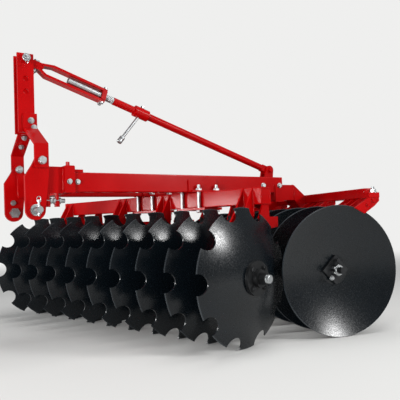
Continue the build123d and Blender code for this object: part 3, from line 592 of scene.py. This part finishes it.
disc_pitch = 0.183
first_rim = -4.5 * disc_pitch
bearing_from_disc = 0.078
plate_middle, plate_half = 0.027, 0.005
foot_height = 0.384
nipple_ahead = 0.061
foot_bolt_ahead = 0.028
front_weld_low, front_weld_high = 0.566, 0.698
rear_weld_inset = 0.006
cap_inset, cap_bend, cap_weld = 0.004, 0.006, 0.0026
foot_bolt = {"flat": 0.0095, "height": 0.008, "washer": 0.013, "stud": 0.004}
nipple = (
    (-0.002, 0.0070, 0.0056), (0.005, 0.0070, 0.0056), (0.006, 0.0038),
    (0.011, 0.0038), (0.013, 0.0046), (0.016, 0.0030),
)
heads, beads, nipples = [], [], []
for name, gang in gangs.items():
    beam = beams[name]
    low = beam["low"]
    front_face = beam["width"] / 2 - beam["back"]
    rear_face = -beam["width"] / 2 - beam["back"]
    for gap in beam["gaps"]:
        # Each bearing stands off the hollow side of a disc, which is the next one on the rear
        # gang.
        station = first_rim + gap * disc_pitch + bearing_from_disc
        if gang["bulge"] > 0:
            station = first_rim + (gap + 1) * disc_pitch - bearing_from_disc
        for side in (-1, 1):
            plate_face = station + side * (plate_middle + plate_half)
            for ahead in (-foot_bolt_ahead, foot_bolt_ahead):
                spot = on_gang(gang, plate_face, ahead, foot_height)
                heads.append(hex_head(spot, side * gang["along"], **foot_bolt))
            for flank in (-plate_half, plate_half):
                edge = station + side * plate_middle + flank
                # Up the front beam's front face, and across the rear beam's underside.
                weld_ends = ((front_face, front_weld_low), (front_face, front_weld_high))
                if name == "rear":
                    weld_ends = (
                        (front_face - rear_weld_inset, low), (rear_face + rear_weld_inset, low),
                    )
                beads.append(bead(*[on_gang(gang, edge, *weld_end) for weld_end in weld_ends]))
        spot = on_gang(gang, station, nipple_ahead, shaft_height)
        nipples.append(turned(spot, gang["forward"], nipple, 18))

    # The cap's weld runs round a rectangle with round corners: the middle of each corner's arc,
    # plus the arc's radius times the cosine and the sine of the angle.
    half_width = beam["width"] / 2 - cap_inset
    half_height = (beam["high"] - low) / 2 - cap_inset
    turn = np.linspace(0.0, 2.0 * np.pi, 64, endpoint=False)
    across = np.sign(np.cos(turn)) * (half_width - cap_bend) + cap_bend * np.cos(turn)
    upward = np.sign(np.sin(turn)) * (half_height - cap_bend) + cap_bend * np.sin(turn)
    for end in (beam["start"], beam["end"]):
        middle = on_gang(gang, first_rim + end, -beam["back"], (low + beam["high"]) / 2)
        path = (
            middle + across[:, None] * gang["forward"]
            + upward[:, None] * np.array((0.0, 0.0, 1.0))
        )
        beads.append(swept(path, cap_weld, 7, closed=True))
hanger_bolts = put_mesh("hanger_bolts", *gather(heads), zinc)
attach(hanger_bolts, "frame")
gang_welds = put_mesh("gang_beam_weld_beads", *gather(beads), enamel, smooth=True)
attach(gang_welds, "frame")
grease_nipples = put_mesh("grease_nipples", *gather(nipples), zinc)
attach(grease_nipples, "frame")


# Scraper bolts: each scraper's blade is held by two bolts, painted over with the frame. The
# stubs that carry the outermost ones take a heavier plated bolt with a washer from above.
discs_per_gang = 10
scraper_face = 0.019
blade_bolt = {"flat": 0.0085, "height": 0.005, "washer": 0.012}
stub_bolt = {"flat": 0.0135, "height": 0.014, "washer": 0.020, "stud": 0.012}
blade_spots = {
    "front": ((-0.196, 0.556), (-0.246, 0.542)),
    "rear": ((-0.150, 0.607), (-0.182, 0.626)),
}
stub_spots = {"rear": (-0.826, -0.193, 0.664), "front": (0.826, -0.195, 0.648)}
heads = []
for name, gang in gangs.items():
    for number in range(discs_per_gang):
        station = first_rim + number * disc_pitch - gang["bulge"] * scraper_face
        for ahead, height in blade_spots[name]:
            spot = on_gang(gang, station, ahead, height)
            heads.append(hex_head(spot, -gang["bulge"] * gang["along"], **blade_bolt))
scraper_bolts = put_mesh("scraper_bolts", *gather(heads), enamel)
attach(scraper_bolts, "frame")
heads = [
    hex_head(on_gang(gangs[name], *place), (0, 0, 1), **stub_bolt)
    for name, place in stub_spots.items()
]
stub_bolts = put_mesh("stub_bolts", *gather(heads), zinc)
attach(stub_bolts, "frame")


# Shaft ends: the round flange is held by four oiled bolts and its nut by a split pin, and the
# square washer at the hollow end by its nut and two locking bolts. The nuts' faces and the
# screw ends that stand out of them are plated.
bulge_end = 0.8855
hollow_end = 0.7675
fitting_width = 0.014
hub_width = 0.018
nut_width = 0.026
flange_bolt_circle = 0.057
screw_root, screw_crest, screw_step = 0.0170, 0.0184, 0.003
nut_corner, nut_flat = 0.0275, 0.0240
flange_bolt = {"flat": 0.0095, "height": 0.008, "washer": 0.013, "stud": 0.004}
high_lock_bolt = {"flat": 0.0100, "height": 0.008, "washer": 0.0120}
low_lock_bolt = {"flat": 0.0085, "height": 0.007, "washer": 0.0115}
split_pin_out, split_pin_half, split_pin_radius = 0.009, 0.023, 0.0026
lock_boss = 0.016
for name, gang in gangs.items():
    way = gang["bulge"]
    outward = way * gang["along"]
    face = way * (bulge_end + fitting_width)
    heads = []
    for turn in np.radians((45.0, 135.0, 225.0, 315.0)):
        ahead, rise = flange_bolt_circle * math.cos(turn), flange_bolt_circle * math.sin(turn)
        spot = on_gang(gang, face, ahead, shaft_height + rise)
        heads.append(hex_head(spot, outward, **flange_bolt))
    nut_end = face + way * (hub_width + nut_width)
    centre = on_gang(gang, nut_end + way * split_pin_out, 0.0, shaft_height)
    pin = np.linspace(-split_pin_half, split_pin_half, 9)[:, None] * np.array((0.0, 0.0, 1.0))
    heads.append(swept(centre + pin, split_pin_radius, 8))
    boss_face = hollow_end + fitting_width + lock_boss
    high_lock = on_gang(gang, -way * boss_face, 0.0, shaft_height + 0.044)
    heads.append(hex_head(high_lock, -outward, **high_lock_bolt))
    shaft_bolts = put_mesh(f"{name}_shaft_bolts", *gather(heads), oiled)
    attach(shaft_bolts, f"{name}_gang")
    nuts = []
    for side, station, screw_length in (
        (way, bulge_end + fitting_width + hub_width, 0.018),
        (-way, hollow_end + fitting_width, 0.003),
    ):
        rows = []
        if side != way:
            rows = [
                (0.0005, 0.0262, nut_flat), (0.002, nut_corner, nut_flat),
                (0.0235, nut_corner, nut_flat), (0.0262, 0.0248, nut_flat),
            ]
        rows.append((0.0262, screw_root))
        for ridge in np.arange(0.0268, 0.0242 + screw_length, screw_step):
            rows += [
                (ridge, screw_root), (ridge + 0.0012, screw_crest), (ridge + 0.0024, screw_root),
            ]
        rows += [(0.0257 + screw_length, 0.0165), (0.0267 + screw_length, 0.0145)]
        nut_face = on_gang(gang, side * station, 0.0, shaft_height)
        nuts.append(turned(nut_face, side * gang["along"], rows))
    low_lock = on_gang(gang, -way * (hollow_end + fitting_width), 0.024, shaft_height - 0.037)
    nuts.append(hex_head(low_lock, -outward, **low_lock_bolt))
    shaft_nuts = put_mesh(f"{name}_shaft_nuts", *gather(nuts), zinc)
    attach(shaft_nuts, f"{name}_gang")


# Hitch pins: each lower pin is kept by a sprung linch pin with a wire ring, and each pivot bolt
# of the mast has a hexagon head outside its hitch plate and a nut inside. A small bolt sits in
# the plate's inner face, over the lower pin. All are plated.
def wire_ring(centre, axis, radius, wire):
    """A ring of round wire: points at equal angles on a circle square to the axis."""
    first, second = square_axes(axis)
    angle = np.linspace(0.0, 2.0 * np.pi, 40, endpoint=False)[:, None]
    path = np.asarray(centre, float) + radius * (np.cos(angle) * first + np.sin(angle) * second)
    return swept(path, wire, 8, closed=True)


hitch_half = 0.200
pin_x, pin_height = 0.953, 0.626
pivot_x, pivot_rise = 0.927, 0.133
linch_pin = (
    (0.0, 0.0030), (0.004, 0.0048), (0.060, 0.0048), (0.061, 0.0090), (0.068, 0.0090),
    (0.070, 0.0070),
)
linch_out, linch_foot, linch_ring = 0.047, 0.028, 0.044
plate_bolt = {"flat": 0.0090, "height": 0.009, "washer": 0.0130}
pivot_head = {"flat": 0.0145, "height": 0.011, "washer": 0.0175}
pivot_nut = {"flat": 0.0145, "height": 0.014, "washer": 0.0175, "stud": 0.008}
pins = []
for way in (1, -1):
    outer = hitch_middle + way * hitch_half
    spot = np.array((pin_x, outer + way * linch_out, pin_height))
    pins.append(turned(spot - (0.0, 0.0, linch_foot), (0, 0, 1), linch_pin))
    ring_centre = spot + (0.0, 0.0, linch_ring)
    pins.append(wire_ring(ring_centre, (0.9, way * 0.4, 0), 0.012, 0.0018))
    plate_spot = (0.957, outer - way * 0.020, deck - 0.029)
    pins.append(hex_head(plate_spot, (0, -way, 0), **plate_bolt))
    head_spot = (pivot_x, outer + way * 0.0236, deck + pivot_rise)
    pins.append(hex_head(head_spot, (0, way, 0), **pivot_head))
    nut_spot = (pivot_x, outer - way * 0.031, deck + pivot_rise)
    pins.append(hex_head(nut_spot, (0, -way, 0), **pivot_nut))
hitch_pins = put_mesh("hitch_linch_pins", *gather(pins), zinc)
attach(hitch_pins, "frame")


# Leveling rod: a plated screwed rod that hangs under the headstock's left cheek on two posts
# with stops at their feet, and thin nuts beside the posts.
rod_way = np.array((1.0, 0.0, 0.0))
rod_start = np.array((0.8186, 0.285, deck - 0.038))
thread_root, thread_crest = 0.0092, 0.0098
thin_nut = (
    (0.0, 0.0130, 0.0125), (0.001, 0.0142, 0.0125), (0.006, 0.0142, 0.0125),
    (0.007, 0.0130, 0.0125),
)
rod_end_radius, rod_length = 0.0085, 0.0882
thread_start, thread_end, thread_step = 0.001, 0.0865, 0.0035
thin_nuts_at = (0.018, 0.045, 0.059)
rows = [(0.0, rod_end_radius)]
for ridge in np.arange(thread_start, thread_end, thread_step):
    rows += [(ridge, thread_root), (ridge + 0.0012, thread_crest), (ridge + 0.0026, thread_root)]
rows.append((rod_length, rod_end_radius))
rod = [turned(rod_start, rod_way, rows)]
for nut_at in thin_nuts_at:
    rod.append(turned(rod_start + nut_at * rod_way, rod_way, thin_nut))
leveling_rod = put_mesh("leveling_rod", *gather(rod), zinc)
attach(leveling_rod, "frame")


# Mast: the straps are bolted to the mast plates through the spacers, and the upper pin has a
# turned head with a pull ring on one end and a linch pin in the other.
upper_pin_x, upper_pin_z = 0.940, deck + 0.620
strap_bolt = {"flat": 0.0105, "height": 0.009, "washer": 0.0145, "stud": 0.005}
slope_bolt = {"flat": 0.0095, "height": 0.008, "washer": 0.0130, "stud": 0.005}
spacer_bolts, strap_outside = ((0.924, 0.334), (0.911, 0.302)), 0.048
heads = []
for x, rise in spacer_bolts:
    for way in (1, -1):
        spot = (x, hitch_middle + way * strap_outside, deck + rise)
        heads.append(hex_head(spot, (0, way, 0), **strap_bolt))
heads.append(turned((upper_pin_x, 0.168, upper_pin_z), (0, 1, 0), (
    (0.0, 0.0170), (0.001, 0.0185), (0.006, 0.0185), (0.008, 0.0165),
    (0.008, 0.0100), (0.012, 0.0090), (0.013, 0.0060),
)))
heads.append(wire_ring((upper_pin_x, 0.184, upper_pin_z - 0.014), (1, 0.2, 0), 0.017, 0.0021))
heads.append(turned((upper_pin_x, 0.068, upper_pin_z - 0.026), (0, 0, 1), (
    (0.0, 0.0025), (0.003, 0.0040), (0.040, 0.0040), (0.041, 0.0085), (0.046, 0.0085),
    (0.047, 0.0065),
)))
heads.append(wire_ring((upper_pin_x, 0.061, upper_pin_z + 0.001), (0.2, 1, 0), 0.017, 0.0018))

# Two more bolts go through each strap's sloping part, square to it.
bend_low, bend_rise, bend_run = 0.905, 0.095, 0.164
strap_low_y, strap_half = -0.091, 0.0075
slope_bolt_heights = (0.984, 0.950)
strap_normal = np.array((0.0, -bend_rise, bend_run)) / math.hypot(bend_rise, bend_run)
for height in slope_bolt_heights:
    strap_y = strap_low_y + (height - bend_low) / bend_rise * bend_run
    for bolt_y, mirror in ((strap_y, 1.0), (2.0 * hitch_middle - strap_y, -1.0)):
        normal = strap_normal * np.array((1.0, mirror, 1.0))
        spot = np.array((pivot_x, bolt_y, height)) - strap_half * normal
        heads.append(hex_head(spot, -normal, **slope_bolt))
mast_bolts = put_mesh("mast_bolts", *gather(heads), zinc)
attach(mast_bolts, "mast")

# The straps' upper ends are welded to the mast plates up both edges and across the top.
weld_low, weld_high, strap_top = deck + 0.300, deck + 0.364, deck + 0.3675
weld_rear, weld_front, mast_outside = 0.8975, 0.9565, 0.036
beads = []
for way in (1, -1):
    outer = hitch_middle + way * mast_outside
    beads.append(bead((weld_rear, outer, weld_low), (weld_rear, outer, weld_high), thin_weld))
    beads.append(bead((weld_front, outer, weld_low), (weld_front, outer, weld_high), thin_weld))
    beads.append(bead((0.900, outer, strap_top), (0.954, outer, strap_top), thin_weld))
mast_welds = put_mesh("mast_weld_beads", *gather(beads), enamel, smooth=True)
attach(mast_welds, "mast")


# Top brace: its screw has a cut thread, which shows between the tube and the nut block. Ahead
# of the block a plated sleeve with an end cap keeps the dust off it.
lug_pin = np.array((-0.501, hitch_middle, deck + 0.149))
mast_pin = np.array((upper_pin_x, hitch_middle, upper_pin_z))
brace_reach = np.linalg.norm(mast_pin - lug_pin)
brace_way = (mast_pin - lug_pin) / brace_reach
brace_up = np.array((-brace_way[2], 0.0, brace_way[0]))
sideways = np.array((0.0, 1.0, 0.0))
block_from_mast, block_half = 0.404022, 0.0115
block_at = brace_reach - block_from_mast

# The thread's radius follows its phase, which runs with the distance along the screw and back
# with the angle about it: flat at the root, rising and falling straight to a flat crest.
sides_round, steps = 24, 220
tube_gap = 0.059
thread_from, thread_to, thread_pitch = block_at - tube_gap, block_at - block_half, 0.0048
thread_depth, core_radius = 0.0011, 0.0158
share, angle = np.meshgrid(
    np.linspace(0.0, 1.0, steps), np.linspace(0.0, 2.0 * np.pi, sides_round, endpoint=False),
    indexing="ij",
)
run = thread_from + share * (thread_to - thread_from)
phase = np.mod(run / thread_pitch - angle / (2.0 * np.pi), 1.0)
crest = np.clip(4.0 * np.abs(phase - 0.5) - 0.6, 0.0, 0.8) / 0.8
fade_in = np.clip(np.minimum(share, 1 - share) * 20.0, 0.0, 1.0)
size = (core_radius + thread_depth * crest * fade_in)[..., None]
thread_points = lug_pin + run[..., None] * brace_way + size * (
    np.cos(angle)[..., None] * sideways - np.sin(angle)[..., None] * brace_up
)
thread_faces = [face[::-1] for face in ring_faces(steps, sides_round, False)]
thread = put_mesh(
    "brace_screw_thread", thread_points.reshape(-1, 3), thread_faces, zinc, smooth=True,
)
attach(thread, "brace")

sleeve_at = lug_pin + (block_at + block_half) * brace_way
dust_sleeve = put_mesh("screw_dust_sleeve", *turned(sleeve_at, brace_way, (
    (0.0, 0.0166), (0.001, 0.0172), (0.164, 0.0172), (0.1645, 0.0164),
    (0.1665, 0.0164), (0.167, 0.0176), (0.1725, 0.0176), (0.174, 0.0160),
), 48), zinc)
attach(dust_sleeve, "brace")


# Fork bolts: one bolt clamps both bars on the tongue, and two on each side hold them on the
# nut block.
tongue_half, tongue_bolt_back = 0.018, 0.056
block_half_height, block_bolt_aside = 0.034, 0.015
tongue_bolt = {"flat": 0.0115, "height": 0.010, "washer": 0.0160}
block_bolt = {"flat": 0.0080, "height": 0.007, "washer": 0.0095}
heads = []
bolt_at = lug_pin + (brace_reach - tongue_bolt_back) * brace_way
heads.append(hex_head(bolt_at + tongue_half * brace_up, brace_up, **tongue_bolt))
heads.append(hex_head(bolt_at - tongue_half * brace_up, -brace_up, stud=0.012, **tongue_bolt))
for way in (1, -1):
    for aside in (-block_bolt_aside, block_bolt_aside):
        spot = (
            lug_pin + block_at * brace_way + way * block_half_height * brace_up
            + aside * sideways
        )
        heads.append(hex_head(spot, way * brace_up, **block_bolt))
fork_bolts = put_mesh("fork_bolts", *gather(heads), zinc)
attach(fork_bolts, "fork")


# Crank: its collar is locked on the tube by one set screw on top, and its handle is a plated
# round bar whose free end is turned to a grip.
collar_behind_block, collar_radius = 0.222, 0.029
collar_at = lug_pin + (block_at - collar_behind_block) * brace_way
set_screw = hex_head(collar_at + collar_radius * brace_up, brace_up, 0.0085, 0.008, 0.0110)
brace_bolts = put_mesh("brace_bolts", *set_screw, zinc)
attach(brace_bolts, "brace")

handle_way = np.array((0.108, 0.0, -0.132))
handle_long = np.linalg.norm(handle_way)
handle_way = handle_way / handle_long
handle_start = 0.0300 - handle_long
knob = collar_at + handle_long * handle_way
handle_rows = (
    (handle_start, 0.0072), (handle_start + 0.0005, 0.0077), (-0.001, 0.0077),
    (-0.002, 0.0118), (0.000, 0.0135), (0.006, 0.0142), (0.017, 0.0134),
    (0.028, 0.0142), (0.033, 0.0136), (0.0352, 0.0110), (0.0358, 0.0060),
)
crank_handle = put_mesh("crank_handle", *turned(knob, handle_way, handle_rows), zinc)
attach(crank_handle, "brace")


# Lug pin: the brace's rear pin lies in the lug's two plates, with a washer on each end and a
# cotter through it, all painted over with the frame.
cotter_way = np.array((0.5, 0.0, 0.866))
pin_end = (
    (-0.0005, 0.0210), (0.0030, 0.0210), (0.0034, 0.0200), (0.0034, 0.0128),
    (0.0128, 0.0128), (0.0140, 0.0112),
)
lug_outside, cotter_out = 0.0273, 0.0355
cotter_half, cotter_radius = 0.0175, 0.0021
heads = []
for way in (1, -1):
    heads.append(turned(lug_pin + way * lug_outside * sideways, way * sideways, pin_end))
    cotter = lug_pin + way * cotter_out * sideways
    cotter = cotter + np.linspace(-cotter_half, cotter_half, 7)[:, None] * cotter_way
    heads.append(swept(cotter, cotter_radius, 8))
lug_pins = put_mesh("brace_lug_pin_ends", *gather(heads), enamel)
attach(lug_pins, "frame")
